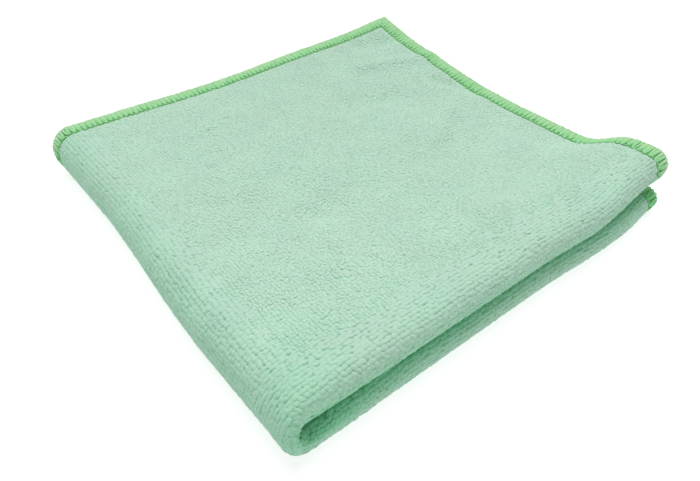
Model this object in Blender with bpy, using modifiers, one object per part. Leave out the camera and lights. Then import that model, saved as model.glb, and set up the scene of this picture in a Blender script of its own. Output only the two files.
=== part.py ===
"""A microfibre cleaning cloth, folded in four: one square of terry knit with an overlocked hem.

Frame: metres, +Z up, the cloth lies on z = 0 and the origin is under the middle of its box.
The first fold runs along the low-Y side and shows as two rolls, one on the other.
The second fold runs along the low-X side, where the outer layers wrap round the inner ones.
All the hems lie at the high-X and high-Y sides.
A place on the folded cloth is given as (along, across): how far it lies from the second fold and
from the first fold, so both run from 0 to FOLDED_SIDE in each of the four layers.
"""

import math
from collections import namedtuple

import bmesh
import bpy

# Driving dimensions.
CLOTH_SIDE = 0.300  # the square, laid out flat
FOLDED_SIDE = CLOTH_SIDE / 2
THICKNESS = 0.0030  # the knit with its pile
HEM_WIDTH = 0.007
HEM_SHARE = 1.0 - HEM_WIDTH / FOLDED_SIDE
HEM_PRESS = 0.80  # the hem's thickness, as a share of the sheet's
ORIGIN_X = 0.0799  # from the second fold to the middle of the box
ORIGIN_Y = 0.0745  # from the first fold to the middle of the box

# First fold: the two rolls, by the radius of the middle of the sheet.
LOWER_ROLL = 0.00315
UPPER_ROLL = 0.00350
ROLL_GAP = 0.0005
CORNER_ROLL_GAP = 0.0014  # between the rolls where they wrap the corner
ROLL_REACH = 0.034  # how far a roll's fullness runs into the cloth
LOWER_SET_BACK = 0.0011
UPPER_SET_BACK = 0.0012
SET_BACK_END = (0.080, 0.115)  # the set-back fades out between these places along the fold
LOWER_END_SET_BACK = 0.0026  # both rolls turn in towards their hem end, from the given place on
LOWER_END_START = 0.122
UPPER_END_SET_BACK = 0.0036
UPPER_END_START = 0.100
ROLL_POWER = 2.0  # how sharply a roll's fullness ends

# The hem end of the first fold: the upper roll opens into a loop and the lower one is pressed.
LOOP_ROLL = 0.00515
LOOP_REACH = 0.0165
LOOP_POWER = 4.0
LOOP_LEAN = 0.0012  # the loop's top stands out this much, and its underside lies in
PRESSED_ROLL = 0.0023
LOOP_START = 0.112

# Second fold.
TURN_DEPTH = 0.85  # the outer layer's turn is this much as deep as a round one
TURN_PRESS = 0.93  # the rolls' radii where they wrap the corner, as a share
WRAP_GAP = 0.0005  # between the outer layer's turn and the inner one's
CORNER_WRAP_GAP = 0.0014  # the same where the first fold wraps the corner
CORNER_ROLL_DEPTH = 0.85  # the rolls are this much as deep there as they are high
TURN_REACH = 0.030  # how far the turn's fullness runs into the cloth
CORNER_BULGE = 0.0010  # the first fold stands out where it wraps the corner
CORNER_REACH = 0.012
SIDE_DRIFT = 0.0037  # how far the second fold turns in towards the high-Y hem
SIDE_DRIFT_RANGE = (0.030, 0.110)

# The corner where all four corners of the cloth meet curls up, from this far along each side.
CURL_START = 0.060
HEM_CLOSE_START = 0.080  # the layers close up from here to their hems
HEM_OPENING = 0.5  # how much less the high-X hem closes up at the curled corner

LEAST_GAP = 0.0003  # between layers that are pressed together
# Space between neighbouring layers, from the bottom up: at the second fold, inside, at the high-X
# hem, at the high-Y hem, and what the curled corner adds.
Gap = namedtuple("Gap", "turn inside hem_x hem_y curl")
GAPS = (
    Gap(turn=0.0013, inside=0.0011, hem_x=0.0005, hem_y=0.0009, curl=0.0010),
    Gap(turn=0.0020, inside=0.0010, hem_x=0.0005, hem_y=0.0011, curl=0.0024),
    Gap(turn=0.0024, inside=0.0022, hem_x=0.0007, hem_y=0.0021, curl=0.0034),
)

# How far each layer's hems lie from the folds, from the bottom up: the high-X hem at the first
# fold, what it gains across the cloth, what the curled corner adds, and the high-Y hem.
Layer = namedtuple("Layer", "reach_x slant curl reach_y")
LAYERS = (
    Layer(reach_x=0.1488, slant=0.0020, curl=0.0010, reach_y=0.1490),
    Layer(reach_x=0.1488, slant=0.0030, curl=0.0015, reach_y=0.1504),
    Layer(reach_x=0.1492, slant=0.0042, curl=0.0032, reach_y=0.1485),
    Layer(reach_x=0.1492, slant=0.0055, curl=0.0050, reach_y=0.1497),
)
BOTTOM, LOWER_INNER, UPPER_INNER, TOP = range(4)

# Soft swells and hollows of the top layer: place, size along and across, and height.
Swell = namedtuple("Swell", "along across size_along size_across height")
SWELLS = (
    Swell(along=0.045, across=0.022, size_along=0.040, size_across=0.014, height=0.0007),
    Swell(along=0.050, across=0.050, size_along=0.014, size_across=0.012, height=-0.0006),
    Swell(along=0.108, across=0.066, size_along=0.018, size_across=0.013, height=0.0007),
    Swell(along=0.105, across=0.092, size_along=0.016, size_across=0.012, height=-0.0006),
    Swell(along=0.033, across=0.078, size_along=0.020, size_across=0.018, height=0.0005),
    Swell(along=0.116, across=0.026, size_along=0.022, size_across=0.008, height=-0.0010),
    Swell(along=0.150, across=0.050, size_along=0.030, size_across=0.012, height=-0.0009),
    Swell(along=0.150, across=0.098, size_along=0.030, size_across=0.018, height=0.0008),
    Swell(along=0.050, across=0.150, size_along=0.022, size_across=0.025, height=-0.0005),
    Swell(along=0.098, across=0.150, size_along=0.022, size_across=0.025, height=0.0006),
)
# The trough behind the loop, pressed flat at the hem.
DIP_ACROSS = 0.0285
DIP_SIZE = 0.0085
DIP_START = 0.085

# The mesh: steps round each fold, and the shares of the flat run where its columns lie.
TURN_STEPS = 10
ROLL_STEPS = 10
RUN_ALONG = (0.03, 0.07, 0.12, 0.19, 0.28, 0.38, 0.48, 0.58, 0.67, 0.75, 0.82, 0.88, 0.92)
RUN_ACROSS = (0.03, 0.06, 0.09, 0.12, 0.15, 0.18, 0.215, 0.26, 0.33, 0.42, 0.53, 0.65, 0.77, 0.87)
HEM_RUN = (HEM_SHARE, 1.0)

CLOTH_GREEN = (0.45, 0.68, 0.54, 1.0)
CLOTH_ROUGHNESS = 0.95


def ease(value, start, end):
    """0 before start, 1 after end, with a smooth rise between."""
    share = min(max((value - start) / (end - start), 0.0), 1.0)
    return share * share * (3.0 - 2.0 * share)


def mix(first, second, share):
    return first + (second - first) * share


def bell(distance, size):
    return math.exp(-((distance / size) ** 2))


def curl_rise(place):
    """0 up to CURL_START, then a steepening rise to 1 at the hem."""
    share = (place - CURL_START) / (FOLDED_SIDE - CURL_START)
    return min(max(share, 0.0), 1.0) ** 2


def flat_gaps(along, across):
    """The three spaces between the layers away from the first fold's rolls."""
    near_x = ease(along, HEM_CLOSE_START, FOLDED_SIDE)
    near_y = ease(across, HEM_CLOSE_START, FOLDED_SIDE)
    curled = curl_rise(along) * curl_rise(across)
    dip = bell(across - DIP_ACROSS, DIP_SIZE) * ease(along, DIP_START, FOLDED_SIDE)
    gaps = []
    for gap in GAPS:
        size = mix(gap.turn, gap.inside, ease(along, 0.0, TURN_REACH))
        size = mix(size, gap.hem_y, near_y)
        size = mix(size, gap.hem_x, near_x * (1.0 - HEM_OPENING * near_y))
        size = mix(size, LEAST_GAP, dip)
        gaps.append(size + gap.curl * curled)
    for swell in SWELLS:
        shape = bell(along - swell.along, swell.size_along)
        gaps[2] += swell.height * shape * bell(across - swell.across, swell.size_across)
    gaps[2] = max(gaps[2], LEAST_GAP)
    return gaps


def roll_radius(along, upper):
    near_loop = ease(along, LOOP_START, FOLDED_SIDE)
    press = mix(TURN_PRESS, 1.0, ease(along, 0.0, TURN_REACH))
    if upper:
        return press * mix(UPPER_ROLL, LOOP_ROLL, near_loop)
    return press * mix(LOWER_ROLL, PRESSED_ROLL, near_loop)


def fullness(along, run, upper):
    """1 at the first fold and falling to 0 inside the cloth."""
    near_loop = ease(along, LOOP_START, FOLDED_SIDE)
    reach = mix(ROLL_REACH, LOOP_REACH, near_loop) if upper else ROLL_REACH
    power = mix(ROLL_POWER, LOOP_POWER, near_loop) if upper else ROLL_POWER
    return math.exp(-((run / reach) ** power))


def layer_heights(along, across):
    """Heights of the middle of the four layers, from the bottom up."""
    low_gap, middle_gap, high_gap = flat_gaps(along, across)
    low_full = fullness(along, across, False)
    high_full = fullness(along, across, True)
    low_space = mix(THICKNESS + low_gap, 2.0 * roll_radius(along, False), low_full)
    roll_gap = mix(CORNER_ROLL_GAP, ROLL_GAP, ease(along, 0.0, TURN_REACH))
    middle_space = THICKNESS + mix(middle_gap, roll_gap, high_full)
    high_space = mix(THICKNESS + high_gap, 2.0 * roll_radius(along, True), high_full)
    bottom = THICKNESS / 2
    return (
        bottom,
        bottom + low_space,
        bottom + low_space + middle_space,
        bottom + low_space + middle_space + high_space,
    )


def fold_wave(along, upper):
    """How far the first fold lies in from a straight line."""
    fading = 1.0 - ease(along, *SET_BACK_END)
    if upper:
        return UPPER_SET_BACK * fading + UPPER_END_SET_BACK * ease(along, UPPER_END_START, FOLDED_SIDE)
    return LOWER_SET_BACK * fading + LOWER_END_SET_BACK * ease(along, LOWER_END_START, FOLDED_SIDE)


def side_wave(across):
    """How far the second fold lies in from a straight line."""
    return SIDE_DRIFT * ease(across, *SIDE_DRIFT_RANGE)


def hem_reach_x(layer, across):
    return layer.reach_x + layer.slant * across / FOLDED_SIDE + layer.curl * curl_rise(across)


def across_fold(along, roll_angle, run_share, upper):
    """One point of a pair of layers: (y, height, the outer layer's share).

    roll_angle goes from -90 degrees, on the inner layer, to 90, on the outer one, and run_share is
    how far the point lies from the roll to the high-Y hem.
    """
    across = run_share * FOLDED_SIDE
    depth = roll_radius(along, upper) * mix(CORNER_ROLL_DEPTH, 1.0, ease(along, 0.0, TURN_REACH))
    outer_share = 0.5 + 0.5 * math.sin(roll_angle)
    outer, inner = (TOP, UPPER_INNER) if upper else (BOTTOM, LOWER_INNER)
    reach = mix(LAYERS[inner].reach_y, LAYERS[outer].reach_y, outer_share)
    nose = fold_wave(along, upper)
    y = nose + depth * (1.0 - math.cos(roll_angle)) + run_share * (reach - nose - depth)
    if upper:
        lean = LOOP_LEAN * ease(along, LOOP_START, FOLDED_SIDE) * fullness(along, across, True)
        y -= lean * math.sin(roll_angle)
    heights = layer_heights(along, across)
    middle = (heights[outer] + heights[inner]) / 2
    height = middle + (heights[outer] - heights[inner]) / 2 * math.sin(roll_angle)
    return y, height, outer_share


def sheet_point(turn_angle, along_share, roll_angle, across_share):
    """One point of the middle of the sheet, folded across the first fold and then the second."""
    along = along_share * FOLDED_SIDE
    across = across_share * FOLDED_SIDE
    upper_y, upper_z, outer_share = across_fold(along, roll_angle, across_share, True)
    lower_y, lower_z, _ = across_fold(along, roll_angle, across_share, False)
    upper_share = 0.5 + 0.5 * math.sin(turn_angle)
    turn = math.cos(turn_angle)

    heights = layer_heights(0.0, across)
    outer_nose = THICKNESS / 2
    inner_nose = outer_nose + THICKNESS + mix(WRAP_GAP, CORNER_WRAP_GAP, bell(across, CORNER_REACH))
    outer_centre = outer_nose + TURN_DEPTH * (heights[TOP] - heights[BOTTOM]) / 2
    inner_centre = inner_nose + (heights[UPPER_INNER] - heights[LOWER_INNER]) / 2
    turn_x = side_wave(across) + mix(inner_centre, outer_centre, outer_share)
    radius = (upper_z - lower_z) / 2
    if upper_share > 0.5:
        outer, inner = LAYERS[TOP], LAYERS[UPPER_INNER]
    else:
        outer, inner = LAYERS[BOTTOM], LAYERS[LOWER_INNER]
    reach = mix(hem_reach_x(inner, across), hem_reach_x(outer, across), outer_share)
    depth = mix(1.0, TURN_DEPTH, outer_share) * radius
    x = turn_x - depth * turn + along_share * (reach - turn_x)
    bulge = CORNER_BULGE * turn**2 * bell(across, CORNER_REACH)
    y = mix(lower_y, upper_y, upper_share) - bulge
    z = (upper_z + lower_z) / 2 + radius * math.sin(turn_angle)
    return x - ORIGIN_X, y - ORIGIN_Y, z


def fold_stations(steps, run_shares):
    """(angle, share of the run) pairs from one hem, round the fold, to the other hem."""
    quarter = math.pi / 2
    turn = [(-quarter + math.pi * step / steps, 0.0) for step in range(steps + 1)]
    before = [(-quarter, share) for share in reversed(run_shares)]
    after = [(quarter, share) for share in run_shares]
    return before + turn + after


def fabric_material():
    material = bpy.data.materials.new("mint_terry")
    material.use_nodes = True
    shader = material.node_tree.nodes["Principled BSDF"]
    shader.inputs["Base Color"].default_value = CLOTH_GREEN
    shader.inputs["Roughness"].default_value = CLOTH_ROUGHNESS
    shader.inputs["Metallic"].default_value = 0.0
    return material


def build_sheet():
    """The open middle surface of the folded sheet, and its hem's vertices."""
    along_stations = fold_stations(TURN_STEPS, RUN_ALONG + HEM_RUN)
    across_stations = fold_stations(ROLL_STEPS, RUN_ACROSS + HEM_RUN)
    mesh = bpy.data.meshes.new("cloth")
    sheet = bmesh.new()
    rows = []
    for turn_angle, along_share in along_stations:
        row = []
        for roll_angle, across_share in across_stations:
            row.append(sheet.verts.new(sheet_point(turn_angle, along_share, roll_angle, across_share)))
        rows.append(row)
    for first, second in zip(rows, rows[1:]):
        for corner in range(len(first) - 1):
            sheet.faces.new((first[corner], second[corner], second[corner + 1], first[corner + 1]))
    sheet.to_mesh(mesh)
    sheet.free()
    mesh.shade_smooth()
    hem = []
    for along_index, (_, along_share) in enumerate(along_stations):
        for across_index, (_, across_share) in enumerate(across_stations):
            if max(along_share, across_share) == 1.0:
                hem.append(along_index * len(across_stations) + across_index)
    return mesh, hem


def build_cloth(collection):
    """The sheet given its thickness, a little pressed along the hem."""
    mesh, hem = build_sheet()
    cloth = bpy.data.objects.new("cloth", mesh)
    collection.objects.link(cloth)
    cloth.data.materials.append(fabric_material())
    body = cloth.vertex_groups.new(name="thickness")
    body.add(range(len(mesh.vertices)), 1.0, "REPLACE")
    body.add(hem, HEM_PRESS, "REPLACE")
    solid = cloth.modifiers.new("thickness", "SOLIDIFY")
    solid.thickness = THICKNESS
    solid.offset = 0.0
    solid.vertex_group = body.name
    return cloth


def main():
    for item in list(bpy.data.objects):
        bpy.data.objects.remove(item)
    collection = bpy.data.collections.new("microfibre cloth")
    bpy.context.scene.collection.children.link(collection)
    build_cloth(collection)


main()
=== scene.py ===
"""Looks of the folded microfibre cloth: the knit ground, its pile of loops and the overlocked hem.

Frame: metres, +Z up, the cloth lies on z = 0. The first fold runs along the low-Y side as two
rolls, and the second one along the low-X side. A place on the folded cloth is (along, across):
how far it lies from the second fold and from the first fold.
"""

import math
from collections import namedtuple

import bpy
import numpy as np
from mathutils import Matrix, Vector


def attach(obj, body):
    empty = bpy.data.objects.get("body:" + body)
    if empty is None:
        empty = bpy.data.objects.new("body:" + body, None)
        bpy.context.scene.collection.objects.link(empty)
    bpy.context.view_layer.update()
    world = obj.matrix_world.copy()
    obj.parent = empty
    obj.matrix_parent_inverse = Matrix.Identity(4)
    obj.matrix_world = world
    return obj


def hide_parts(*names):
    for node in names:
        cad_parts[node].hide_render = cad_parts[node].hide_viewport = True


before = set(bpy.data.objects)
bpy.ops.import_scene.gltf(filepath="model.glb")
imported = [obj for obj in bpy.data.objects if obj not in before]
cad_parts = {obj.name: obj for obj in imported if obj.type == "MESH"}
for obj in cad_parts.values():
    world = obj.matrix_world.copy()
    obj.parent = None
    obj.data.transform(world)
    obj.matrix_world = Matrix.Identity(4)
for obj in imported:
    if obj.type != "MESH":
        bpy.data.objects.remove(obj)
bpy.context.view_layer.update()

# The folded shape, in the sizes of the frame's own cloth.
CLOTH_SIDE = 0.300
FOLDED_SIDE = CLOTH_SIDE / 2
THICKNESS = 0.0030
ORIGIN_X = 0.0799
ORIGIN_Y = 0.0745
LOWER_ROLL = 0.00315
UPPER_ROLL = 0.00350
ROLL_GAP = 0.0005
CORNER_ROLL_GAP = 0.0014
ROLL_REACH = 0.034
LOWER_SET_BACK = 0.0011
UPPER_SET_BACK = 0.0012
SET_BACK_END = (0.080, 0.115)
LOWER_END_SET_BACK = 0.0026
LOWER_END_START = 0.122
UPPER_END_SET_BACK = 0.0036
UPPER_END_START = 0.100
ROLL_POWER = 2.0
LOOP_ROLL = 0.00515
LOOP_REACH = 0.0165
LOOP_POWER = 4.0
LOOP_LEAN = 0.0012
PRESSED_ROLL = 0.0023
LOOP_START = 0.112
TURN_DEPTH = 0.85
TURN_PRESS = 0.93
WRAP_GAP = 0.0005
CORNER_WRAP_GAP = -0.0010
CORNER_LEAN = 0.0026  # how far the inner layers' turn leans in the corner of the two folds
CORNER_ROLL_DEPTH = 0.85
TURN_REACH = 0.030
CORNER_BULGE = 0.0010
CORNER_REACH = 0.012
SIDE_DRIFT = 0.0037
SIDE_DRIFT_RANGE = (0.030, 0.110)
CURL_START = 0.060
HEM_CLOSE_START = 0.080
HEM_OPENING = 0.5
LEAST_GAP = 0.0003
Gap = namedtuple("Gap", "turn inside hem_x hem_y curl")
GAPS = (
    Gap(turn=0.0013, inside=0.0011, hem_x=0.0005, hem_y=0.0009, curl=0.0010),
    Gap(turn=0.0020, inside=0.0010, hem_x=0.0005, hem_y=0.0011, curl=0.0024),
    Gap(turn=0.0024, inside=0.0022, hem_x=0.0007, hem_y=0.0021, curl=0.0034),
)
Layer = namedtuple("Layer", "reach_x slant curl reach_y")
LAYERS = (
    Layer(reach_x=0.1488, slant=0.0020, curl=0.0010, reach_y=0.1490),
    Layer(reach_x=0.1488, slant=0.0030, curl=0.0015, reach_y=0.1504),
    Layer(reach_x=0.1492, slant=0.0042, curl=0.0032, reach_y=0.1485),
    Layer(reach_x=0.1492, slant=0.0055, curl=0.0050, reach_y=0.1497),
)
BOTTOM, LOWER_INNER, UPPER_INNER, TOP = range(4)
Swell = namedtuple("Swell", "along across size_along size_across height")
SWELLS = (
    Swell(along=0.045, across=0.022, size_along=0.040, size_across=0.014, height=0.0007),
    Swell(along=0.050, across=0.050, size_along=0.014, size_across=0.012, height=-0.0006),
    Swell(along=0.108, across=0.066, size_along=0.018, size_across=0.013, height=0.0007),
    Swell(along=0.105, across=0.092, size_along=0.016, size_across=0.012, height=-0.0006),
    Swell(along=0.033, across=0.078, size_along=0.020, size_across=0.018, height=0.0005),
    Swell(along=0.116, across=0.026, size_along=0.022, size_across=0.008, height=-0.0010),
    Swell(along=0.150, across=0.050, size_along=0.030, size_across=0.012, height=-0.0009),
    Swell(along=0.150, across=0.098, size_along=0.030, size_across=0.018, height=0.0008),
    Swell(along=0.050, across=0.150, size_along=0.022, size_across=0.025, height=-0.0005),
    Swell(along=0.098, across=0.150, size_along=0.022, size_across=0.025, height=0.0006),
)
DIP_ACROSS = 0.0285
DIP_SIZE = 0.0085
DIP_START = 0.085

# Soft creases, finer than the frame's own. Each goes from one place to another, given as lengths
# along the sheet from the second fold's nose and the first fold's nose: both above zero on the
# top layer, the first below zero on the lowest layer, the second below zero on the inner ones.
Crease = namedtuple("Crease", "start end width height")
CREASES = (
    Crease(start=(0.098, 0.027), end=(0.128, 0.025), width=0.0050, height=-0.0007),
    Crease(start=(0.094, 0.020), end=(0.117, 0.012), width=0.0040, height=0.0004),
    Crease(start=(0.020, 0.025), end=(0.036, 0.027), width=0.0045, height=-0.0006),
    Crease(start=(0.051, 0.053), end=(0.057, 0.055), width=0.0045, height=-0.0010),
    Crease(start=(0.104, 0.062), end=(0.128, 0.078), width=0.0032, height=0.0008),
    Crease(start=(0.103, 0.052), end=(0.123, 0.067), width=0.0034, height=-0.0008),
    Crease(start=(0.139, 0.096), end=(0.146, 0.082), width=0.0036, height=-0.0008),
    Crease(start=(0.100, 0.100), end=(0.116, 0.096), width=0.0060, height=-0.0010),
    Crease(start=(0.121, 0.123), end=(0.150, 0.113), width=0.0038, height=0.0010),
    Crease(start=(0.132, 0.137), end=(0.144, 0.134), width=0.0050, height=-0.0010),
    Crease(start=(0.049, 0.119), end=(0.059, 0.124), width=0.0040, height=0.0008),
    Crease(start=(0.019, 0.044), end=(0.026, 0.051), width=0.0040, height=0.0007),
    Crease(start=(0.019, 0.060), end=(0.026, 0.075), width=0.0045, height=-0.0007),
    Crease(start=(-0.004, 0.008), end=(-0.006, 0.022), width=0.0016, height=-0.0004),
    Crease(start=(0.003, 0.014), end=(0.002, 0.034), width=0.0016, height=-0.0004),
    Crease(start=(0.007, 0.030), end=(0.006, 0.052), width=0.0018, height=-0.0003),
)

# The knit: its ground, and the loops of its pile on both faces. Pairs of sizes are along and across.
GROUND_HALF = 0.00098
LOOP_PITCH = (0.00135, 0.00113)
FINE_PITCH = (0.00100, 0.00083)
LOOP_ROOT = 0.0003  # how deep a loop's rim is sunk in the ground
SEED = 7
# The lines of loops waver softly. A loop also lies off its place by a share of the pitch, which is
# less where a fold draws the lines straight.
LINE_WAVER = (0.00053, 0.00044)
LINE_WAVER_SCALE = (0.060, 0.050)
FOLD_JITTER = 0.055
FLAT_JITTER = 0.20
STRAIGHT_REACH = (0.024, 0.017)
# A loop's rings, each by its share of the radius and of the height, from its rim up to its tip.
LoopShape = namedtuple("LoopShape", "sides rings radius height tone")
# A fold opens the grooves that run along it, so against their pitch its loops are longer that way.
ROLL_LOOP = LoopShape(
    sides=6,
    rings=((1.10, -0.20), (1.10, 0.26), (0.74, 0.80)),
    radius=(0.00112, 0.00071),
    height=0.00042,
    tone=0.24,
)
TURN_LOOP = ROLL_LOOP._replace(radius=(0.00086, 0.00092))
FINE_LOOP = LoopShape(
    sides=4,
    rings=((1.15, 0.05), (0.78, 0.72)),
    radius=(0.00074, 0.00062),
    height=0.00050,
    tone=0.70,
)
PLAIN_LOOP = LoopShape(
    sides=4,
    rings=((1.05, 0.05), (0.72, 0.74)),
    radius=(0.00103, 0.00088),
    height=0.00054,
    tone=0.50,
)
# Over the folds the loops stand in rows, up to these lengths from the noses, unevenly so. Beyond,
# the top layer's pile is ruffled and shows as finer tufts, which begin a little inside the rows' end.
ROLL_ROWS = 0.0140
TURN_ROWS = 0.0155
ROW_WAVER = 0.0028
ROW_WAVER_SCALE = 0.010
ROW_OVERLAP = 0.0008
# The loops stand up where a fold spreads the pile. Away from the folds they are flattened, more in
# some patches than in others.
SPREAD_REACH = (0.015, 0.012)
FLAT_HEIGHT = 0.64
PATCH_HEIGHT = 0.16
PATCH_SIZE = 0.05
PATCH_SCALE = 0.012
# How uneven the loops are: spreads of their sizes and heights, of their yaw in radians, of how far
# their tips lean, as shares of the radius, of each point's ruffle and of their tone. All but the
# tone's are less at the folds.
FOLD_LOOSENESS = 0.9
FOLD_YAW = 0.35
SIZE_SPREAD = 0.06
HEIGHT_SPREAD = 0.12
YAW_SPREAD = 0.5
LEAN_SPREAD = 0.20
RUFFLE = 0.09
TONE_SPREAD = 0.07
TONE_PATCH = 0.20
TONE_PATCH_SCALE = 0.022
# In the pinched corner of the two folds the loops are pressed to this share of their height. It
# begins below this length across.
CORNER_PRESS = 0.45
PINCH_REACH = (0.014, 0.008)
PINCH_START = 0.003
# How much painted shade deepens the knit's colour: 0 in the open and up to 1 in the hollow between
# the rolls. A fold deepens it a little, and the corner of the two folds more.
PAINTED_SHADE_TURN = 0.29
PAINTED_SHADE_TURN_REACH = 0.013
PAINTED_SHADE_ROLL = 0.15
PAINTED_SHADE_ROLL_REACH = 0.016
PAINTED_SHADE_CORNER = 0.36
PAINTED_SHADE_CORNER_REACH = (0.030, 0.022)
# It is full at the first of these lengths across and begins at the second: on the upper roll, on
# the lower roll, and in the hollow between them. Near the corner the hollow is full sooner.
PAINTED_SHADE_UPPER = (-0.0015, 0.0055)
PAINTED_SHADE_LOWER = (-0.0035, 0.0065)
PAINTED_SHADE_HOLLOW = (-0.0066, -0.0016)
PAINTED_SHADE_TIP_REACH = 0.020
PAINTED_SHADE_SHARE = 0.55  # the rolls' share of it; the rest is the hollow's
PAINTED_SHADE_FADE = 0.48  # how much less of both there is at the hem end
PAINTED_SHADE_INSIDE = 0.6  # on the inner face
# It is more than that at a loop's root, by this factor, and less by this much of it at the tip.
PAINTED_SHADE_AT_ROOT = 1.2
PAINTED_SHADE_FALL = 0.4
# The pile that shows between the layers goes this far in from the hems. The open end of the upper
# roll shows its inner face this far along and across.
SEEN_AT_HEM = 0.014
OPEN_END = (0.030, 0.018)

# The overlocked hem. In each stitch a looper strand goes out from the needle line, round the edge,
# to the needle line of the other face and back.
HEM_WIDTH = 0.0064
HEM_HALF = 0.00100
NEEDLE_HALF = 0.00090  # the ground where the needle thread draws it in
EDGE_ROUND = 0.0008
STITCH = 0.0019
# The needle line lies this far in from the edge, as a share of the hem's width, and wanders a
# little. A needle stitch's points are so far on, as shares of the stitch, and so high, as shares of
# the thread's radius.
NEEDLE_RADIUS = 0.00022
NEEDLE_INSET = 0.97
NEEDLE_WANDER = 0.00008
NEEDLE_STEPS = (0.10, 0.30, 0.70, 0.90)
NEEDLE_HEIGHTS = (0.2, 1.5, 1.5, 0.2)
# How far from the corners the looper strands begin: on the first two edges, and on the other two as
# a share of the hem's width.
LOOPER_START = 0.0006
LOOPER_LATER_START = 0.5
# Stations of a strand, from one needle line to the other: how far in from the edge, as a share
# of the hem's width, how far on, as a share of the stitch, which face it is on (0 at the very
# edge), and its half-width and half-height.
Station = namedtuple("Station", "inset drift face wide tall")
STRAND = (
    Station(inset=1.00, drift=0.00, face=1.0, wide=0.00060, tall=0.00024),
    Station(inset=0.80, drift=0.18, face=1.0, wide=0.00066, tall=0.00030),
    Station(inset=0.44, drift=0.24, face=1.0, wide=0.00057, tall=0.00035),
    Station(inset=0.14, drift=0.25, face=0.9, wide=0.00056, tall=0.00034),
    Station(inset=-0.02, drift=0.25, face=0.0, wide=0.00054, tall=0.00032),
    Station(inset=0.14, drift=0.25, face=-0.9, wide=0.00056, tall=0.00034),
    Station(inset=0.44, drift=0.26, face=-1.0, wide=0.00057, tall=0.00035),
    Station(inset=0.80, drift=0.32, face=-1.0, wide=0.00066, tall=0.00030),
    Station(inset=1.00, drift=0.50, face=-1.0, wide=0.00060, tall=0.00024),
)
STRAND_RISE = 0.75  # how far a strand stands off the ground, as a share of its half-height
# How uneven the stitches are: spreads of their places, as a share of the stitch, of their reach and
# of the thread's thickness.
STITCH_SPREAD = 0.05
REACH_SPREAD = 0.05
THREAD_SPREAD = 0.12
# How deep the looper thread's colour is, from 0 to 1: at most this much at random by stitch and by
# station, on the strand's way back, toward the lower of two heights as painted shade on the low
# hems, and toward the needle line between two insets. Then the range of the needle thread's.
STITCH_TONE = 0.12
STATION_TONE = 0.2
RETURN_TONE = 0.2
LOW_PAINTED_SHADE = 0.7
LOW_SHADE_HEIGHTS = (0.006, 0.011)
NEEDLE_LINE_TONE = 0.5
NEEDLE_LINE = (0.45, 0.95)
NEEDLE_TONE = (0.4, 0.9)

# How finely the folded surface is worked out, and which of its lines the ground's mesh uses: every
# few round the folds and along the runs, and these ones counted from each hem.
TURN_CELLS = 60
ROLL_CELLS = 44
RUN_CELLS = 280
FOLD_STEP = 3
RUN_STEP = 5
HEM_LINES = (15, 12, 9, 6, 4, 3, 2, 1, 0.4, 0)
INWARD_LINES = 13  # over how many lines a hem's inward direction is taken
# A loop's place on the surface is found in so many steps, each of at most so many lines, and is
# kept if it is as near as this share of the pitch.
LOCATE_STEPS = 12
LOCATE_STRIDE = 8.0
LOCATE_ERROR = 0.25

# The view: the camera's directions in degrees, its distance and lens, and the point it looks at,
# measured from the corner of the two folds.
CAMERA_AZIMUTH = -39.163
CAMERA_ELEVATION = 39.578
CAMERA_DISTANCE = 0.193797
CAMERA_LENS = 31.886
CAMERA_TARGET = (0.0603015, 0.0528064)
CAMERA_CLIP = 0.002
# The light: a soft sky, and a broad light from behind and above. The floor glows, so that it stays
# as white as the sky.
SKY_STRENGTH = 0.385
KEY_STRENGTH = 2.4
KEY_ANGLE = 50.0
KEY_PLACE = (0.22, 0.30, 1.15)
FLOOR_SIZE = 60.0
FLOOR_DROP = 0.0002
FLOOR_GREY = 0.38
FLOOR_GLOW = 0.77


def ease(value, start, end):
    """0 before start, 1 after end, with a smooth rise between."""
    share = np.clip((value - start) / (end - start), 0.0, 1.0)
    return share * share * (3.0 - 2.0 * share)


def mix(first, second, share):
    return first + (second - first) * share


def bell(distance, size):
    return np.exp(-((distance / size) ** 2))


def curl_rise(place):
    """0 up to CURL_START, then a steepening rise to 1 at the hem."""
    return np.clip((place - CURL_START) / (FOLDED_SIDE - CURL_START), 0.0, 1.0) ** 2


def crease_height(along, across):
    """How far the soft creases raise the sheet, at lengths along it from the folds' noses."""
    height = np.zeros_like(along)
    for crease in CREASES:
        (x0, y0), (x1, y1) = crease.start, crease.end
        run_x, run_y = x1 - x0, y1 - y0
        share = ((along - x0) * run_x + (across - y0) * run_y) / (run_x**2 + run_y**2)
        share = np.clip(share, 0.0, 1.0)
        off = np.hypot(along - x0 - share * run_x, across - y0 - share * run_y)
        height += crease.height * bell(off, crease.width)
    return height


def flat_gaps(along, across):
    """The three spaces between the layers away from the first fold's rolls."""
    near_x = ease(along, HEM_CLOSE_START, FOLDED_SIDE)
    near_y = ease(across, HEM_CLOSE_START, FOLDED_SIDE)
    curled = curl_rise(along) * curl_rise(across)
    dip = bell(across - DIP_ACROSS, DIP_SIZE) * ease(along, DIP_START, FOLDED_SIDE)
    gaps = []
    for gap in GAPS:
        size = mix(gap.turn, gap.inside, ease(along, 0.0, TURN_REACH))
        size = mix(size, gap.hem_y, near_y)
        size = mix(size, gap.hem_x, near_x * (1.0 - HEM_OPENING * near_y))
        size = mix(size, LEAST_GAP, dip)
        gaps.append(size + gap.curl * curled)
    for swell in SWELLS:
        shape = bell(along - swell.along, swell.size_along)
        gaps[2] = gaps[2] + swell.height * shape * bell(across - swell.across, swell.size_across)
    gaps[2] = np.maximum(gaps[2], LEAST_GAP)
    return gaps


def roll_radius(along, upper):
    near_loop = ease(along, LOOP_START, FOLDED_SIDE)
    press = mix(TURN_PRESS, 1.0, ease(along, 0.0, TURN_REACH))
    if upper:
        return press * mix(UPPER_ROLL, LOOP_ROLL, near_loop)
    return press * mix(LOWER_ROLL, PRESSED_ROLL, near_loop)


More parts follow.
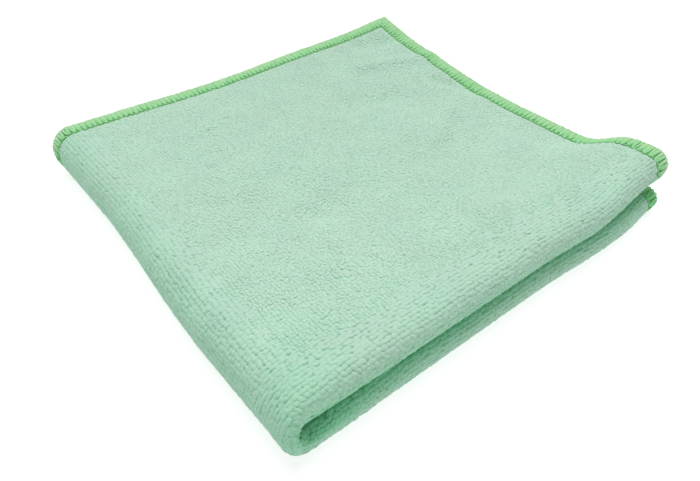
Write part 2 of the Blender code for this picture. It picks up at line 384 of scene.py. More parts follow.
def fullness(along, run, upper):
    """1 at the first fold and falling to 0 inside the cloth."""
    near_loop = ease(along, LOOP_START, FOLDED_SIDE)
    reach = mix(ROLL_REACH, LOOP_REACH, near_loop) if upper else ROLL_REACH
    power = mix(ROLL_POWER, LOOP_POWER, near_loop) if upper else ROLL_POWER
    return np.exp(-((run / reach) ** power))


def layer_heights(along, across):
    """Heights of the middle of the four layers, from the bottom up."""
    low_gap, middle_gap, high_gap = flat_gaps(along, across)
    low_full = fullness(along, across, False)
    high_full = fullness(along, across, True)
    low_space = mix(THICKNESS + low_gap, 2.0 * roll_radius(along, False), low_full)
    roll_gap = mix(CORNER_ROLL_GAP, ROLL_GAP, ease(along, 0.0, TURN_REACH))
    middle_space = THICKNESS + mix(middle_gap, roll_gap, high_full)
    high_space = mix(THICKNESS + high_gap, 2.0 * roll_radius(along, True), high_full)
    bottom = THICKNESS / 2
    return (
        bottom,
        bottom + low_space,
        bottom + low_space + middle_space,
        bottom + low_space + middle_space + high_space,
    )


def fold_wave(along, upper):
    """How far the first fold lies in from a straight line."""
    fading = 1.0 - ease(along, *SET_BACK_END)
    if upper:
        return UPPER_SET_BACK * fading + UPPER_END_SET_BACK * ease(along, UPPER_END_START, FOLDED_SIDE)
    return LOWER_SET_BACK * fading + LOWER_END_SET_BACK * ease(along, LOWER_END_START, FOLDED_SIDE)


def hem_reach_x(layer, across):
    return layer.reach_x + layer.slant * across / FOLDED_SIDE + layer.curl * curl_rise(across)


def across_fold(along, roll_angle, run_share, upper):
    """Points of a pair of layers: (y, height, the outer layer's share)."""
    across = run_share * FOLDED_SIDE
    depth = roll_radius(along, upper) * mix(CORNER_ROLL_DEPTH, 1.0, ease(along, 0.0, TURN_REACH))
    outer_share = 0.5 + 0.5 * np.sin(roll_angle)
    outer, inner = (TOP, UPPER_INNER) if upper else (BOTTOM, LOWER_INNER)
    reach = mix(LAYERS[inner].reach_y, LAYERS[outer].reach_y, outer_share)
    nose = fold_wave(along, upper)
    y = nose + depth * (1.0 - np.cos(roll_angle)) + run_share * (reach - nose - depth)
    if upper:
        lean = LOOP_LEAN * ease(along, LOOP_START, FOLDED_SIDE) * fullness(along, across, True)
        y = y - lean * np.sin(roll_angle)
    heights = layer_heights(along, across)
    middle = (heights[outer] + heights[inner]) / 2
    height = middle + (heights[outer] - heights[inner]) / 2 * np.sin(roll_angle)
    return y, height, outer_share


def sheet_points(turn_angle, along_share, roll_angle, across_share):
    """Points of the middle of the sheet, folded across the first fold and then the second."""
    along = along_share * FOLDED_SIDE
    across = across_share * FOLDED_SIDE
    upper_y, upper_z, outer_share = across_fold(along, roll_angle, across_share, True)
    lower_y, lower_z, _ = across_fold(along, roll_angle, across_share, False)
    upper_share = 0.5 + 0.5 * np.sin(turn_angle)
    turn = np.cos(turn_angle)
    heights = layer_heights(0.0, across)
    outer_nose = THICKNESS / 2
    inner_nose = outer_nose + THICKNESS + mix(WRAP_GAP, CORNER_WRAP_GAP, bell(across, CORNER_REACH))
    outer_centre = outer_nose + TURN_DEPTH * (heights[TOP] - heights[BOTTOM]) / 2
    inner_centre = inner_nose + (heights[UPPER_INNER] - heights[LOWER_INNER]) / 2
    side_wave = SIDE_DRIFT * ease(across, *SIDE_DRIFT_RANGE)
    turn_x = side_wave + mix(inner_centre, outer_centre, outer_share)
    radius = (upper_z - lower_z) / 2
    upper_reach = mix(
        hem_reach_x(LAYERS[UPPER_INNER], across), hem_reach_x(LAYERS[TOP], across), outer_share
    )
    lower_reach = mix(
        hem_reach_x(LAYERS[LOWER_INNER], across), hem_reach_x(LAYERS[BOTTOM], across), outer_share
    )
    reach = np.where(upper_share > 0.5, upper_reach, lower_reach)
    depth = mix(1.0, TURN_DEPTH, outer_share) * radius
    x = turn_x - depth * turn + along_share * (reach - turn_x)
    lean = CORNER_LEAN * bell(across, CORNER_REACH) * (1.0 - outer_share) ** 2
    x = x - lean * turn * np.sin(turn_angle)
    bulge = CORNER_BULGE * turn**2 * bell(across, CORNER_REACH)
    y = mix(lower_y, upper_y, upper_share) - bulge
    z = (upper_z + lower_z) / 2 + radius * np.sin(turn_angle)
    return np.stack(np.broadcast_arrays(x - ORIGIN_X, y - ORIGIN_Y, z), axis=-1)


def fold_stations(fold_cells):
    """Angles and shares of the run from one hem, round the fold, to the other hem."""
    quarter = math.pi / 2
    share = np.linspace(0.0, 1.0, RUN_CELLS + 1)[1:]
    angles = np.concatenate(
        [
            np.full(RUN_CELLS, -quarter),
            np.linspace(-quarter, quarter, fold_cells + 1),
            np.full(RUN_CELLS, quarter),
        ]
    )
    shares = np.concatenate([share[::-1], np.zeros(fold_cells + 1), share])
    return angles, shares


def lengths_from_middle(points, axis):
    """Length along the surface from the middle of the grid, below zero before it."""
    steps = np.linalg.norm(np.diff(points, axis=axis), axis=-1)
    total = np.cumsum(steps, axis=axis)
    start = np.zeros_like(np.take(total, [0], axis=axis))
    total = np.concatenate([start, total], axis=axis)
    return total - np.take(total, [points.shape[axis] // 2], axis=axis)


def unit(vectors):
    return vectors / np.maximum(np.linalg.norm(vectors, axis=-1, keepdims=True), 1e-12)


def at(grid, rows, columns):
    """Values of a grid between its points."""
    rows = np.clip(rows, 0.0, grid.shape[0] - 1.000001)
    columns = np.clip(columns, 0.0, grid.shape[1] - 1.000001)
    row, column = rows.astype(int), columns.astype(int)
    row_share, column_share = rows - row, columns - column
    if grid.ndim == 3:
        row_share, column_share = row_share[..., None], column_share[..., None]
    first = mix(grid[row, column], grid[row, column + 1], column_share)
    second = mix(grid[row + 1, column], grid[row + 1, column + 1], column_share)
    return mix(first, second, row_share)


class Surface:
    """The middle of the folded sheet as a fine grid, with its directions and hem distances."""

    def __init__(self):
        turn_angle, along_share = fold_stations(TURN_CELLS)
        roll_angle, across_share = fold_stations(ROLL_CELLS)
        self.points = sheet_points(
            turn_angle[:, None], along_share[:, None], roll_angle[None, :], across_share[None, :]
        )
        self.find_directions()
        self.along = lengths_from_middle(self.points, 0)
        self.across = lengths_from_middle(self.points, 1)
        self.points += self.normal * crease_height(self.along, self.across)[..., None]
        self.find_directions()
        ends_x = self.along - self.along[:1], self.along[-1:] - self.along
        ends_y = self.across - self.across[:, :1], self.across[:, -1:] - self.across
        self.to_hem_x = np.minimum(*ends_x)
        self.to_hem = np.minimum(self.to_hem_x, np.minimum(*ends_y))
        self.half = ground_half(self.to_hem)

    def find_directions(self):
        along_step = np.gradient(self.points, axis=0)
        across_step = np.gradient(self.points, axis=1)
        self.across_dir = unit(across_step)
        self.normal = unit(np.cross(along_step, across_step))


def ground_half(to_hem):
    """Half the ground's thickness: rounded at the edge, drawn in by the needle thread."""
    rounded = np.clip(to_hem / EDGE_ROUND, 0.0, 1.0)
    rounded = np.sqrt(1.0 - (1.0 - rounded) ** 2)
    hem = mix(HEM_HALF, NEEDLE_HALF, bell(to_hem - HEM_WIDTH, EDGE_ROUND))
    return rounded * mix(hem, GROUND_HALF, ease(to_hem, HEM_WIDTH, HEM_WIDTH + 2 * EDGE_ROUND))


def new_piece(name, points, faces, material, attributes):
    """A smooth mesh piece from arrays of points and of faces with three or four corners."""
    mesh = bpy.data.meshes.new(name)
    corners = faces.shape[1]
    mesh.vertices.add(len(points))
    mesh.vertices.foreach_set("co", np.ascontiguousarray(points, np.float32).ravel())
    mesh.loops.add(faces.size)
    mesh.loops.foreach_set("vertex_index", np.ascontiguousarray(faces, np.int32).ravel())
    mesh.polygons.add(len(faces))
    mesh.polygons.foreach_set("loop_start", np.arange(0, faces.size, corners, dtype=np.int32))
    mesh.update(calc_edges=True)
    mesh.validate()
    mesh.shade_smooth()
    for attribute, values in attributes.items():
        layer = mesh.attributes.new(attribute, "FLOAT", "POINT")
        layer.data.foreach_set("value", np.ascontiguousarray(values, np.float32).ravel())
    mesh.materials.append(material)
    piece = bpy.data.objects.new(name, mesh)
    bpy.context.scene.collection.objects.link(piece)
    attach(piece, "root")
    return piece


def ground_lines(fold_cells):
    """Grid lines that the ground's mesh uses: close at the fold and the hem, wider between."""
    middle = RUN_CELLS + fold_cells // 2
    end = 2 * RUN_CELLS + fold_cells
    fold = middle + np.arange(0, fold_cells // 2 + 1, FOLD_STEP)
    run = np.arange(fold[-1] + RUN_STEP - 1, end - HEM_LINES[0] - FOLD_STEP, RUN_STEP)
    hem = end - np.array(HEM_LINES)
    half = np.concatenate([fold, run, hem])
    return np.unique(np.concatenate([2 * middle - half, half]))


def make_ground(surface, material):
    rows = ground_lines(TURN_CELLS)
    columns = ground_lines(ROLL_CELLS)
    row_grid, column_grid = np.meshgrid(rows, columns, indexing="ij")
    middle = at(surface.points, row_grid, column_grid)
    normal = unit(at(surface.normal, row_grid, column_grid))
    half = ground_half(at(surface.to_hem, row_grid, column_grid))[..., None]
    count = row_grid.size
    index = np.arange(count).reshape(row_grid.shape)
    back = index + count
    rim = np.zeros(row_grid.shape, bool)
    rim[[0, -1], :] = True
    rim[:, [0, -1]] = True
    back[rim] = index[rim]

    def quads(grid, flip):
        corners = [grid[:-1, :-1], grid[1:, :-1], grid[1:, 1:], grid[:-1, 1:]]
        if flip:
            corners = corners[::-1]
        return np.stack([corner.ravel() for corner in corners], axis=1)

    points = np.concatenate(
        [(middle + normal * half).reshape(-1, 3), (middle - normal * half).reshape(-1, 3)]
    )
    points[:, 2] = np.maximum(points[:, 2], 0.0)
    faces = np.concatenate([quads(index, False), quads(back, True)])
    used, faces = np.unique(faces, return_inverse=True)
    faces = faces.reshape(-1, 4)
    to_hem = at(surface.to_hem, row_grid, column_grid).ravel()
    band = 1.0 - ease(to_hem, HEM_WIDTH, HEM_WIDTH + EDGE_ROUND)
    return new_piece(
        "terry_ground", points[used], faces, material, {"hem": np.tile(band, 2)[used]}
    )


def waver(values_x, values_y, scale, seed):
    """A soft unevenness between -1 and 1, from a few crossing waves about one scale long."""
    numbers = np.random.default_rng(seed)
    total = 0.0
    waves = 7
    for _ in range(waves):
        heading, phase = numbers.uniform(0.0, 2 * math.pi, 2)
        stretch = numbers.uniform(0.7, 1.5) * 2 * math.pi / scale
        total = total + np.sin(
            stretch * (values_x * math.cos(heading) + values_y * math.sin(heading)) + phase
        )
    return np.clip(2.0 * total / waves, -1.0, 1.0)


def loop_template(shape):
    """A loop's rounded form: its rings of points, closed by a tip at height 1."""
    sides = shape.sides
    turn = np.arange(sides) * 2 * math.pi / sides
    points = []
    for step, (radius, height) in enumerate(shape.rings):
        shift = turn + step * math.pi / sides
        points += zip(radius * np.cos(shift), radius * np.sin(shift), np.full(sides, height))
    tip = len(points)
    points.append((0.0, 0.0, 1.0))
    faces = []
    for side in range(sides):
        following = (side + 1) % sides
        for start in range(0, tip - sides, sides):
            # Each ring is turned by half a side, so the faces between two rings are triangles.
            faces += [
                (start + side, start + following, start + sides + side),
                (start + following, start + sides + following, start + sides + side),
            ]
        faces.append((tip - sides + side, tip - sides + following, tip))
    return np.array(points), np.array(faces)


class Places(namedtuple("Places", "rows columns along across")):
    """Places of loops: where they are in the surface's grid, and their lengths along the sheet."""

    def only(self, mask):
        return Places(*(values[mask] for values in self))


def locate(lengths_along, lengths_across, along, across):
    """Grid places whose lengths along the surface are the given ones, and which were found."""
    middle_row, middle_column = along.shape[0] // 2, along.shape[1] // 2
    line_along = along[:, middle_column + RUN_CELLS // 2]
    line_across = across[middle_row + RUN_CELLS // 2]
    rows = np.interp(lengths_along, line_along, np.arange(along.shape[0]))
    columns = np.interp(lengths_across, line_across, np.arange(across.shape[1]))
    along_speed = np.gradient(along, axis=0)
    across_speed = np.gradient(across, axis=1)
    for _ in range(LOCATE_STEPS):
        row_step = (lengths_along - at(along, rows, columns)) / at(along_speed, rows, columns)
        column_step = (lengths_across - at(across, rows, columns)) / at(
            across_speed, rows, columns
        )
        rows = rows + np.clip(row_step, -LOCATE_STRIDE, LOCATE_STRIDE)
        columns = columns + np.clip(column_step, -LOCATE_STRIDE, LOCATE_STRIDE)
    off = np.abs(lengths_along - at(along, rows, columns)) + np.abs(
        lengths_across - at(across, rows, columns)
    )
    return rows, columns, off < LOCATE_ERROR * FINE_PITCH[0]


def lay_loops(surface, side, pitch):
    """Places of the loops on one face: 1 for the face that shows, -1 for the other one."""
    skin = surface.points + side * surface.normal * surface.half[..., None]
    along = lengths_from_middle(skin, 0)
    across = lengths_from_middle(skin, 1)
    half_x = int(along.max() / pitch[0])
    half_y = int(across.max() / pitch[1])
    line_x = (np.arange(-half_x, half_x) + 0.5) * pitch[0]
    line_y = (np.arange(-half_y, half_y) + 0.5) * pitch[1]
    grid_x, grid_y = (grid.ravel() for grid in np.meshgrid(line_x, line_y, indexing="ij"))
    numbers = np.random.default_rng(SEED + side)
    flat = 1.0 - np.maximum(bell(grid_x, STRAIGHT_REACH[0]), bell(grid_y, STRAIGHT_REACH[1]))
    jitter = numbers.normal(0.0, 1.0, (2, grid_x.size)) * mix(FOLD_JITTER, FLAT_JITTER, flat)
    waver_x = LINE_WAVER[0] * waver(grid_x, grid_y, LINE_WAVER_SCALE[0], seed=3)
    grid_x = grid_x + jitter[0] * pitch[0] + waver_x
    waver_y = LINE_WAVER[1] * waver(grid_x, grid_y, LINE_WAVER_SCALE[1], seed=4)
    grid_y = grid_y + jitter[1] * pitch[1] + waver_y
    rows, columns, found = locate(grid_x, grid_y, along, across)
    keep = found & (at(surface.to_hem, rows, columns) > HEM_WIDTH + EDGE_ROUND)
    return Places(rows[keep], columns[keep], grid_x[keep], grid_y[keep])


def painted_shade_depth(places, side):
    """How much painted shade deepens the knit's colour at each place, from 0 to 1."""
    if side < 0:
        return np.full(len(places.rows), PAINTED_SHADE_INSIDE)
    fold = PAINTED_SHADE_TURN * bell(places.along, PAINTED_SHADE_TURN_REACH)
    corner = PAINTED_SHADE_CORNER * bell(places.along, PAINTED_SHADE_CORNER_REACH[0])
    corner = corner * bell(places.across, PAINTED_SHADE_CORNER_REACH[1])
    fold = np.maximum(fold, PAINTED_SHADE_ROLL * bell(places.across, PAINTED_SHADE_ROLL_REACH))
    fold = np.maximum(fold, corner)
    upper = places.along > 0.0
    deepest = np.where(upper, PAINTED_SHADE_UPPER[0], PAINTED_SHADE_LOWER[0])
    start = np.where(upper, PAINTED_SHADE_UPPER[1], PAINTED_SHADE_LOWER[1])
    rolls = PAINTED_SHADE_SHARE * (1.0 - ease(places.across, deepest, start))
    tip = bell(places.along, PAINTED_SHADE_TIP_REACH) * (1.0 - ease(places.across, PAINTED_SHADE_HOLLOW[1], 0.0))
    hollow = np.maximum(1.0 - ease(places.across, *PAINTED_SHADE_HOLLOW), tip)
    from_corner = np.minimum(np.abs(places.along) / FOLDED_SIDE, 1.0)
    fading = 1.0 - PAINTED_SHADE_FADE * np.sqrt(from_corner)
    return np.maximum(fold, (rolls + (1.0 - PAINTED_SHADE_SHARE) * hollow) * fading)


def corner_press(places, side):
    """The loops' height, as a share, pressed in the corner of the two folds."""
    pinched = bell(places.along, PINCH_REACH[0]) * bell(places.across, PINCH_REACH[1])
    pinched = np.where((places.across < PINCH_START) & (side > 0), pinched, 0.0)
    return mix(1.0, CORNER_PRESS, pinched)


def make_loops(name, surface, side, places, shape, material):
    """One piece of the pile: a loop at each place on one face of the sheet."""
    count = len(places.rows)
    numbers = np.random.default_rng(SEED * 11 + count)
    normal = side * unit(at(surface.normal, places.rows, places.columns))
    across_dir = unit(at(surface.across_dir, places.rows, places.columns))
    along_dir = np.cross(across_dir, normal)
    half = at(surface.half, places.rows, places.columns)
    root = at(surface.points, places.rows, places.columns) + normal * half[:, None]

    spread = np.maximum(
        bell(places.along, SPREAD_REACH[0]), bell(places.across, SPREAD_REACH[1])
    )
    patch = waver(places.along, places.across, PATCH_SCALE, seed=21)
    loose = mix(1.0, FOLD_LOOSENESS, spread)
    size = 1.0 + (PATCH_SIZE * patch + numbers.normal(0.0, SIZE_SPREAD, count)) * loose
    height = corner_press(places, side) * shape.height
    height = height * mix(FLAT_HEIGHT + PATCH_HEIGHT * patch, 1.0, spread)
    height = height * (1.0 + numbers.normal(0.0, HEIGHT_SPREAD, count) * loose)
    yaw = numbers.normal(0.0, YAW_SPREAD, count) * mix(1.0, FOLD_YAW, spread)
    lean = numbers.normal(0.0, LEAN_SPREAD, (2, count)) * loose

    template, faces = loop_template(shape)
    ruffle = numbers.normal(0.0, RUFFLE, (3, count, len(template))) * loose[:, None]
    flat_x = (template[:, 0] + ruffle[0]) * size[:, None] * shape.radius[0]
    flat_y = (template[:, 1] + ruffle[1]) * size[:, None] * shape.radius[1]
    rim = template[:, 2] == template[0, 2]
    rise = (template[:, 2] + ruffle[2]) * height[:, None] - LOOP_ROOT * rim
    turned_x = np.cos(yaw)[:, None] * flat_x - np.sin(yaw)[:, None] * flat_y
    turned_y = np.sin(yaw)[:, None] * flat_x + np.cos(yaw)[:, None] * flat_y
    turned_x += lean[0][:, None] * template[:, 2] * shape.radius[0]
    turned_y += lean[1][:, None] * template[:, 2] * shape.radius[1]
    points = (
        root[:, None, :]
        + turned_x[..., None] * along_dir[:, None, :]
        + turned_y[..., None] * across_dir[:, None, :]
        + rise[..., None] * normal[:, None, :]
    ).reshape(-1, 3)
    points[:, 2] = np.maximum(points[:, 2], 0.0)
    firsts = np.arange(count)[:, None, None] * len(template)
    tip = np.clip(template[:, 2], 0.0, 1.0)
    tone = waver(places.along, places.across, TONE_PATCH_SCALE, seed=41)
    tone = shape.tone + TONE_PATCH * tone + numbers.normal(0.0, TONE_SPREAD, count)
    tone = np.clip(tone, 0.0, 1.0)
    tone = np.repeat(tone, len(template))
    # Painted shade, more at a loop's root than at its tip.
    painted_shade = painted_shade_depth(places, side)[:, None] * (PAINTED_SHADE_AT_ROOT - PAINTED_SHADE_FALL * tip)
    painted_shade = np.clip(painted_shade, 0.0, 1.0).ravel()
    looks = {"tip": np.tile(tip, count), "tone": tone, "painted_shade": painted_shade}
    return new_piece(name, points, (faces + firsts).reshape(-1, 3), material, looks)


def in_rows(places, inset):
    """Where the loops stand in rows: over the first fold's rolls, and over the second fold."""
    edge = ROW_WAVER * waver(places.along, places.across, ROW_WAVER_SCALE, seed=31) - inset
    outer = places.across > 0.0
    roll = np.abs(places.across) < ROLL_ROWS + edge
    return roll, (np.abs(places.along) < TURN_ROWS + edge) & outer & ~roll


def make_pile(surface, material):
    """The pile in pieces: rows of loops over the folds, finer tufts on top, plain ones elsewhere."""
    shown = lay_loops(surface, 1, LOOP_PITCH)
    roll, turn = in_rows(shown, 0.0)
    flat = ~roll & ~turn
    at_hem = at(surface.to_hem, shown.rows, shown.columns) < SEEN_AT_HEM
    under = flat & (shown.along < 0.0) & (shown.across > 0.0)
    between = flat & (shown.across < 0.0) & at_hem
    fine = lay_loops(surface, 1, FINE_PITCH)
    roll_rows, turn_rows = in_rows(fine, ROW_OVERLAP)
    top = ~roll_rows & ~turn_rows & (fine.along > 0.0) & (fine.across > 0.0)
    near = at(surface.points, fine.rows, fine.columns)[:, 0] < 0.0
    # The inner face shows between the layers at the hems and in the open end of the upper roll.
    hidden = lay_loops(surface, -1, LOOP_PITCH)
    to_hem_x = at(surface.to_hem_x, hidden.rows, hidden.columns)
    open_end = (to_hem_x < OPEN_END[0]) & (np.abs(hidden.across) < OPEN_END[1])
    edge = (at(surface.to_hem, hidden.rows, hidden.columns) < SEEN_AT_HEM) | open_end
    return [
        make_loops("pile_turn", surface, 1, shown.only(turn), TURN_LOOP, material),
        make_loops("pile_rolls", surface, 1, shown.only(roll), ROLL_LOOP, material),
        make_loops("pile_top_near", surface, 1, fine.only(top & near), FINE_LOOP, material),
        make_loops("pile_top_far", surface, 1, fine.only(top & ~near), FINE_LOOP, material),
        make_loops("pile_under", surface, 1, shown.only(under), PLAIN_LOOP, material),
        make_loops("pile_between", surface, 1, shown.only(between), PLAIN_LOOP, material),
        make_loops("pile_inside", surface, -1, hidden.only(edge), PLAIN_LOOP, material),
    ]


def principled(name):
    material = bpy.data.materials.new(name)
    material.use_nodes = True
    return material, material.node_tree, material.node_tree.nodes["Principled BSDF"]


def attribute_value(tree, name):
    node = tree.nodes.new("ShaderNodeAttribute")
    node.attribute_name = name
    return node.outputs["Fac"]


def noise(tree, scale, detail, roughness=0.5):
    place = tree.nodes.new("ShaderNodeTexCoord")
    node = tree.nodes.new("ShaderNodeTexNoise")
    node.inputs["Scale"].default_value = scale
    node.inputs["Detail"].default_value = detail
    node.inputs["Roughness"].default_value = roughness
    tree.links.new(place.outputs["Object"], node.inputs["Vector"])
    return node.outputs["Fac"]


def spread_out(tree, value, given, wanted=(0.0, 1.0)):
    """A value stretched from one range to another."""
    node = tree.nodes.new("ShaderNodeMapRange")
    for name, number in zip(("From Min", "From Max", "To Min", "To Max"), given + wanted):
        node.inputs[name].default_value = number
    tree.links.new(value, node.inputs["Value"])
    return node.outputs["Result"]


def blend_colours(tree, share, first, second):
    """A mix of two colours, either of which may be another node's output."""
    node = tree.nodes.new("ShaderNodeMix")
    node.data_type = "RGBA"
    tree.links.new(share, node.inputs[0])
    for socket, colour in zip((node.inputs[6], node.inputs[7]), (first, second)):
        if isinstance(colour, tuple):
            socket.default_value = (*colour, 1.0)
        else:
            tree.links.new(colour, socket)
    return node.outputs[2]


def add_bump(tree, shader, height, strength, distance):
    bump = tree.nodes.new("ShaderNodeBump")
    bump.inputs["Strength"].default_value = strength
    bump.inputs["Distance"].default_value = distance
    tree.links.new(height, bump.inputs["Height"])
    tree.links.new(bump.outputs["Normal"], shader.inputs["Normal"])


# Colours of the pile, from the open to the painted shade of the hollow, of its ground, of the hem's
# thread, and of the ground under that thread.
MINT = (0.488, 0.680, 0.578)
MINT_WARM = (0.512, 0.666, 0.568)
MINT_PALE = (0.600, 0.849, 0.673)
# Painted shade between the loops: a deeper, greener mint at their roots. Also a random patch colour of
# the ground.
MINT_DEEP = (0.440, 0.710, 0.545)
# Painted shade: on the rolls, near the folds, on the inner face and, deepest, in the hollow between
# the rolls.
MINT_PAINTED_SHADE = (0.250, 0.675, 0.400)
MINT_PAINTED_HOLLOW_SHADE = (0.042, 0.315, 0.128)
GROUND_MINT = (0.400, 0.660, 0.490)
LIME = (0.410, 0.700, 0.355)
LIME_PALE = (0.480, 0.740, 0.420)
# The thread's deep colour, also used as painted shade on the low hems.
LIME_DEEP = (0.190, 0.660, 0.250)
LIME_SHADE = (0.370, 0.650, 0.350)


def pile_material():
    material, tree, shader = principled("terry_pile")
    patches = spread_out(tree, noise(tree, scale=45.0, detail=2.0), given=(0.35, 0.65))
    colour = blend_colours(tree, patches, MINT, MINT_WARM)
    tone = spread_out(tree, attribute_value(tree, "tone"), given=(0.0, 1.0), wanted=(0.0, 0.6))
    colour = blend_colours(tree, tone, colour, MINT_PALE)
    # Painted shade between the loops: each loop goes from this deeper mint at its root to its own
    # colour at the tip.
    tip = spread_out(tree, attribute_value(tree, "tip"), given=(0.1, 0.95))
    colour = blend_colours(tree, tip, MINT_DEEP, colour)
    # Painted shade, deepest in the hollow between the rolls.
    painted_shade = attribute_value(tree, "painted_shade")
    colour = blend_colours(tree, spread_out(tree, painted_shade, given=(0.0, 0.6)), colour, MINT_PAINTED_SHADE)
    colour = blend_colours(tree, spread_out(tree, painted_shade, given=(0.6, 1.0)), colour, MINT_PAINTED_HOLLOW_SHADE)
    tree.links.new(colour, shader.inputs["Base Color"])
    fibres = noise(tree, scale=900.0, detail=2.0)
    rough = spread_out(tree, fibres, given=(0.3, 0.7), wanted=(0.82, 0.98))
    tree.links.new(rough, shader.inputs["Roughness"])
    shader.inputs["Sheen Weight"].default_value = 0.25
    shader.inputs["Sheen Roughness"].default_value = 0.45
    shader.inputs["Specular IOR Level"].default_value = 0.2
    strands = noise(tree, scale=2300.0, detail=4.0, roughness=0.65)
    add_bump(tree, shader, strands, strength=0.60, distance=0.00030)
    return material


def ground_material():
    material, tree, shader = principled("terry_ground")
    patches = spread_out(tree, noise(tree, scale=60.0, detail=2.0), given=(0.35, 0.65))
    colour = blend_colours(tree, patches, GROUND_MINT, MINT_DEEP)
    colour = blend_colours(tree, attribute_value(tree, "hem"), colour, LIME_SHADE)
    tree.links.new(colour, shader.inputs["Base Color"])
    shader.inputs["Roughness"].default_value = 0.95
    shader.inputs["Specular IOR Level"].default_value = 0.1
    strands = noise(tree, scale=1600.0, detail=3.0, roughness=0.6)
    add_bump(tree, shader, strands, strength=0.5, distance=0.0002)
    return material


def thread_material():
    material, tree, shader = principled("hem_thread")
    patches = spread_out(tree, noise(tree, scale=120.0, detail=2.0), given=(0.35, 0.65))
    colour = blend_colours(tree, patches, LIME, LIME_PALE)
    colour = blend_colours(tree, attribute_value(tree, "tone"), colour, LIME_DEEP)
    tree.links.new(colour, shader.inputs["Base Color"])
    shader.inputs["Roughness"].default_value = 0.7
    shader.inputs["Sheen Weight"].default_value = 0.3
    shader.inputs["Sheen Roughness"].default_value = 0.4
    shader.inputs["Specular IOR Level"].default_value = 0.35
    strands = noise(tree, scale=3400.0, detail=3.0, roughness=0.65)
    add_bump(tree, shader, strands, strength=0.4, distance=0.00025)
    return material


class HemEdge:
    """One edge of the cloth, as lines of points, inward directions and normals along it."""

    def __init__(self, surface, axis, end):
        pick, inner = (-1, -1 - INWARD_LINES) if end > 0 else (0, INWARD_LINES)
        self.points = np.take(surface.points, pick, axis=axis)
        self.normal = np.take(surface.normal, pick, axis=axis)
        self.inward = unit(np.take(surface.points, inner, axis=axis) - self.points)
        steps = np.linalg.norm(np.diff(self.points, axis=0), axis=-1)
        self.length = np.concatenate([[0.0], np.cumsum(steps)])

    def place(self, length, inset, height):
        """Points at lengths along the edge, inset from it and raised from the sheet's middle."""
        spot = np.interp(length, self.length, np.arange(len(self.length)))
        low = np.clip(spot.astype(int), 0, len(self.length) - 2)
        share = (spot - low)[:, None]
        point, inward, normal = (
            mix(line[low], line[low + 1], share)
            for line in (self.points, self.inward, self.normal)
        )
        point = point + unit(inward) * inset[:, None] + unit(normal) * height[:, None]
        return point, unit(inward), unit(normal)


def tube(path, out, wide, tall, sides):
    """A flattened tube round a line of points; out points away from the cloth at each."""
    tangent = unit(np.gradient(path, axis=0))
    side = unit(np.cross(tangent, out))
    up = np.cross(side, tangent)
    turn = (np.arange(sides) + 0.5) * 2 * math.pi / sides
    ring = (
        np.cos(turn)[None, :, None] * (side * wide[:, None])[:, None]
        + np.sin(turn)[None, :, None] * (up * tall[:, None])[:, None]
    )
    index = np.arange(len(path) * sides).reshape(len(path), sides)
    following = np.roll(index, -1, axis=1)
    faces = np.stack([index[:-1], following[:-1], following[1:], index[1:]], axis=-1)
    return (path[:, None] + ring).reshape(-1, 3), faces.reshape(-1, 4)


def looper_strand(edge, start, stop, sides=6):
    """The looper thread along one edge, its tone deep at the needle line and, as painted shade, low
    down.
    """
    stitches = int((stop - start) / STITCH)
    numbers = np.random.default_rng(SEED + stitches)
    inset, drift, face, wide, tall = np.array(STRAND + STRAND[-2:0:-1]).T
    drift[len(STRAND) :] = 1.0 - drift[len(STRAND) :]
    steps = len(inset)
    length = start + (np.arange(stitches)[:, None] + drift) * STITCH
    length = length + numbers.normal(0.0, STITCH_SPREAD, (stitches, 1)) * STITCH
    reach = 1.0 + numbers.normal(0.0, REACH_SPREAD, (stitches, 1)) * (inset > 0.5)
    inset = inset * reach * HEM_WIDTH
    thick = 1.0 + numbers.normal(0.0, THREAD_SPREAD, (stitches, steps))
    wide, tall = (wide * thick).ravel(), (tall * thick).ravel()
    half = ground_half(np.maximum(inset, 0.0))
    height = (face * half).ravel() + np.tile(face, stitches) * tall * STRAND_RISE
    path, inward, normal = edge.place(length.ravel(), inset.ravel(), height)
    facing = np.tile(face, stitches)[:, None]
    out = normal * facing - inward * np.sqrt(1.0 - facing**2)
    points, faces = tube(path, unit(out), wide, tall, sides)
    tone = numbers.uniform(0.0, STITCH_TONE, (stitches, 1))
    tone = tone + numbers.uniform(0.0, STATION_TONE, (stitches, steps))
    tone[:, len(STRAND) :] += RETURN_TONE
    near_needle = (inset.ravel() / HEM_WIDTH - NEEDLE_LINE[0]) / (NEEDLE_LINE[1] - NEEDLE_LINE[0])
    tone = tone.ravel() + NEEDLE_LINE_TONE * np.clip(near_needle, 0.0, 1.0)
    # Painted shade: the thread is a deeper green on the low hems, near the floor.
    tone = tone + LOW_PAINTED_SHADE * (1.0 - ease(path[:, 2], *LOW_SHADE_HEIGHTS))
    return points, faces, np.repeat(np.clip(tone, 0.0, 1.0), sides)


def needle_stitches(edge, start, stop, side, sides=5):
    """The needle thread on one face: one short stitch after another along the needle line."""
    stitches = int((stop - start) / STITCH)
    numbers = np.random.default_rng(SEED + 5 + stitches)
    parts = []
    for stitch in range(stitches):
        length = start + (stitch + np.array(NEEDLE_STEPS)) * STITCH
        inset = HEM_WIDTH * NEEDLE_INSET + numbers.normal(0.0, NEEDLE_WANDER)
        height = side * (NEEDLE_HALF + NEEDLE_RADIUS * np.array(NEEDLE_HEIGHTS))
        path, _, normal = edge.place(length, np.full(len(length), inset), height)
        radius = np.full(len(length), NEEDLE_RADIUS)
        points, faces = tube(path, side * normal, radius, radius, sides)
        parts.append((points, faces, np.full(len(points), numbers.uniform(*NEEDLE_TONE))))
    return join_parts(parts)


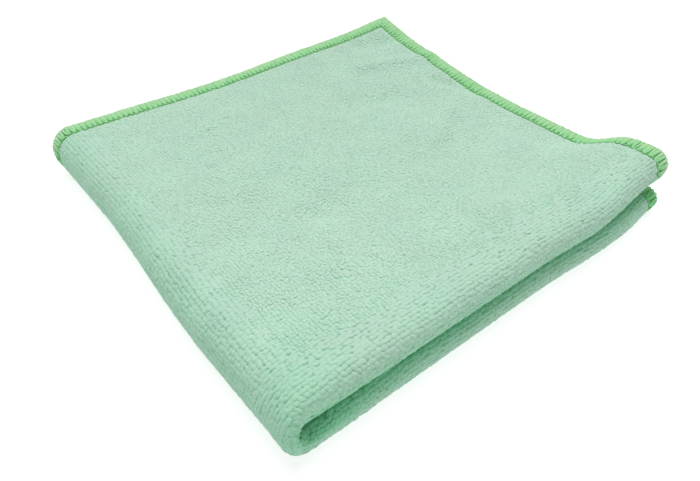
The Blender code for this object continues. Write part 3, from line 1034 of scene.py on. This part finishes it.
def join_parts(parts):
    points, faces, tones, count = [], [], [], 0
    for part_points, part_faces, part_tones in parts:
        points.append(part_points)
        faces.append(part_faces + count)
        tones.append(part_tones)
        count += len(part_points)
    return np.concatenate(points), np.concatenate(faces), np.concatenate(tones)


def make_threads(surface, material):
    """The looper and needle threads round the whole edge of the cloth."""
    edges = [HemEdge(surface, axis, end) for axis in (0, 1) for end in (-1, 1)]
    loopers, needles = [], []
    for number, edge in enumerate(edges):
        stop = edge.length[-1]
        inset = LOOPER_START if number < 2 else HEM_WIDTH * LOOPER_LATER_START
        loopers.append(looper_strand(edge, inset, stop - inset))
        for side in (-1, 1):
            needles.append(needle_stitches(edge, HEM_WIDTH, stop - HEM_WIDTH, side))
    pieces = []
    for name, parts in (("looper_thread", loopers), ("needle_thread", needles)):
        points, faces, tones = join_parts(parts)
        points[:, 2] = np.maximum(points[:, 2], 0.0)
        pieces.append(new_piece(name, points, faces, material, {"tone": tones}))
    return pieces


def make_floor():
    bpy.ops.mesh.primitive_plane_add(size=FLOOR_SIZE, location=(0.0, 0.0, -FLOOR_DROP))
    floor = bpy.context.object
    floor.name = "floor"
    material, _, shader = principled("floor")
    shader.inputs["Base Color"].default_value = (FLOOR_GREY, FLOOR_GREY, FLOOR_GREY, 1.0)
    shader.inputs["Roughness"].default_value = 0.9
    shader.inputs["Specular IOR Level"].default_value = 0.0
    shader.inputs["Emission Color"].default_value = (1.0, 1.0, 1.0, 1.0)
    shader.inputs["Emission Strength"].default_value = FLOOR_GLOW
    floor.data.materials.append(material)


def make_light():
    """A soft sky and a broad, soft light from behind and above."""
    world = bpy.data.worlds.new("studio")
    bpy.context.scene.world = world
    world.use_nodes = True
    tree = world.node_tree
    background = tree.nodes["Background"]
    background.inputs["Color"].default_value = (1.0, 1.0, 1.0, 1.0)
    # The sky is as white as the floor to look at, but lights the cloth less.
    seen = tree.nodes.new("ShaderNodeLightPath").outputs["Is Camera Ray"]
    strength = spread_out(tree, seen, given=(0.0, 1.0), wanted=(SKY_STRENGTH, 1.0))
    tree.links.new(strength, background.inputs["Strength"])
    light = bpy.data.lights.new("key", "SUN")
    light.energy = KEY_STRENGTH
    light.angle = math.radians(KEY_ANGLE)
    lamp = bpy.data.objects.new("key", light)
    bpy.context.scene.collection.objects.link(lamp)
    lamp.location = KEY_PLACE
    lamp.rotation_euler = (-lamp.location).to_track_quat("-Z", "Y").to_euler()
    bpy.context.scene.view_settings.view_transform = "Standard"
    bpy.context.scene.view_settings.look = "None"


def make_camera():
    azimuth, elevation = math.radians(CAMERA_AZIMUTH), math.radians(CAMERA_ELEVATION)
    target = Vector((CAMERA_TARGET[0] - ORIGIN_X, CAMERA_TARGET[1] - ORIGIN_Y, 0.0))
    back = Vector(
        (
            math.sin(azimuth) * math.cos(elevation),
            -math.cos(azimuth) * math.cos(elevation),
            math.sin(elevation),
        )
    )
    camera = bpy.data.cameras.new("camera")
    camera.lens = CAMERA_LENS
    camera.clip_start = CAMERA_CLIP
    eye = bpy.data.objects.new("camera", camera)
    bpy.context.scene.collection.objects.link(eye)
    eye.location = target + back * CAMERA_DISTANCE
    eye.rotation_euler = (-back).to_track_quat("-Z", "Y").to_euler()
    bpy.context.scene.camera = eye


make_camera()
make_light()
make_floor()
surface = Surface()
ground = make_ground(surface, ground_material())
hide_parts("cloth")
pile = make_pile(surface, pile_material())
threads = make_threads(surface, thread_material())
